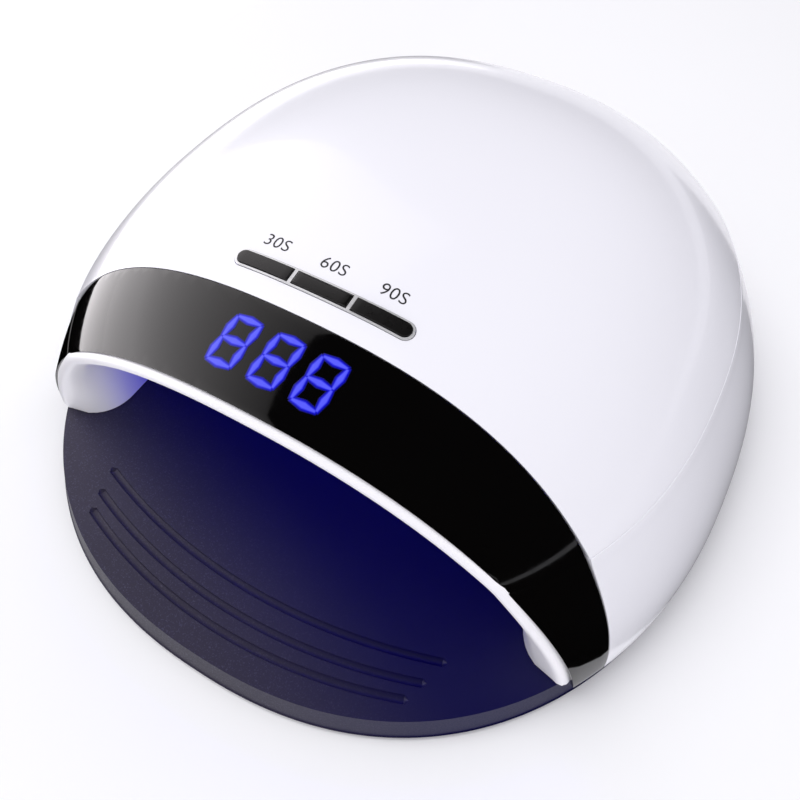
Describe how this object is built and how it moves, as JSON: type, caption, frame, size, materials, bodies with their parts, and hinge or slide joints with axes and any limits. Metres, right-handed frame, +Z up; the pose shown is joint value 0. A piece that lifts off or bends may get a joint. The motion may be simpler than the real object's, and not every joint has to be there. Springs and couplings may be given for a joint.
{
  "type": "uv curing lamp",
  "caption": "Dome-shaped UV LED curing lamp: lift-off white housing with a black display band and three timer buttons over a dark grooved tray.",
  "frame": {"origin": "centre of the footprint, on the surface the lamp stands on", "axes": "+Z up; the open front with display and buttons faces -Y; +X to the right seen from the front"},
  "size_m": [0.205, 0.2342, 0.0838],
  "materials": {
    "white_shell": "high gloss moulded ABS",
    "reflector_white": "satin white reflector",
    "band_black": "polished black acrylic",
    "button_black": "gloss black keys",
    "tray_dark": "fine-grained dark plastic",
    "chrome_trim": "bright plated trim",
    "steel_parts": "plain zinc-plated steel",
    "rubber_feet": "black rubber",
    "board_green": "solder-masked circuit board",
    "led_lens": "clear domed LED lens",
    "display_face": "dark display face",
    "dark_plastic": "black engineering plastic"
  },
  "bodies": {
    "tray": {"base_tray": "tray_dark", "foot_1": "rubber_feet", "foot_2": "rubber_feet", "foot_3": "rubber_feet", "foot_4": "rubber_feet", "tray_disc_1": "steel_parts", "tray_disc_2": "steel_parts", "tray_disc_3": "steel_parts", "tray_disc_4": "steel_parts"},
    "housing": {"top_shell": "white_shell", "front_band": "band_black", "reflector": "reflector_white", "bottom_frame": "dark_plastic", "frame_magnet_1": "steel_parts", "frame_magnet_2": "steel_parts", "frame_magnet_3": "steel_parts", "frame_magnet_4": "steel_parts", "screw_1": "steel_parts", "screw_2": "steel_parts", "screw_3": "steel_parts", "screw_4": "steel_parts", "button_bezel": "chrome_trim", "tact_switch_1": "dark_plastic", "tact_switch_2": "dark_plastic", "tact_switch_3": "dark_plastic", "button_board": "board_green", "display_module": "display_face", "roof_led_board": "board_green", "left_led_board": "board_green", "right_led_board": "board_green", "led_1": "led_lens", "led_2": "led_lens", "led_3": "led_lens", "led_4": "led_lens", "led_5": "led_lens", "led_6": "led_lens", "led_7": "led_lens", "led_8": "led_lens", "led_9": "led_lens", "led_10": "led_lens", "led_11": "led_lens", "led_12": "led_lens", "control_board": "board_green", "dc_jack": "dark_plastic"},
    "button_30s_body": {"button_30s": "button_black"},
    "button_60s_body": {"button_60s": "button_black"},
    "button_90s_body": {"button_90s": "button_black"}
  },
  "joints": [
    {"name": "housing_lift_off", "type": "slide", "parent": "tray", "child": "housing", "axis": [0, 0, 1], "range_m": [0, 0.06]},
    {"name": "button_30s_press", "type": "slide", "parent": "housing", "child": "button_30s_body", "axis": [0, 0.1754, -0.9845], "range_m": [0, 0.0008], "stiffness_N_per_m": 600},
    {"name": "button_60s_press", "type": "slide", "parent": "housing", "child": "button_60s_body", "axis": [0, 0.1754, -0.9845], "range_m": [0, 0.0008], "stiffness_N_per_m": 600},
    {"name": "button_90s_press", "type": "slide", "parent": "housing", "child": "button_90s_body", "axis": [0, 0.1754, -0.9845], "range_m": [0, 0.0008], "stiffness_N_per_m": 600}
  ]
}
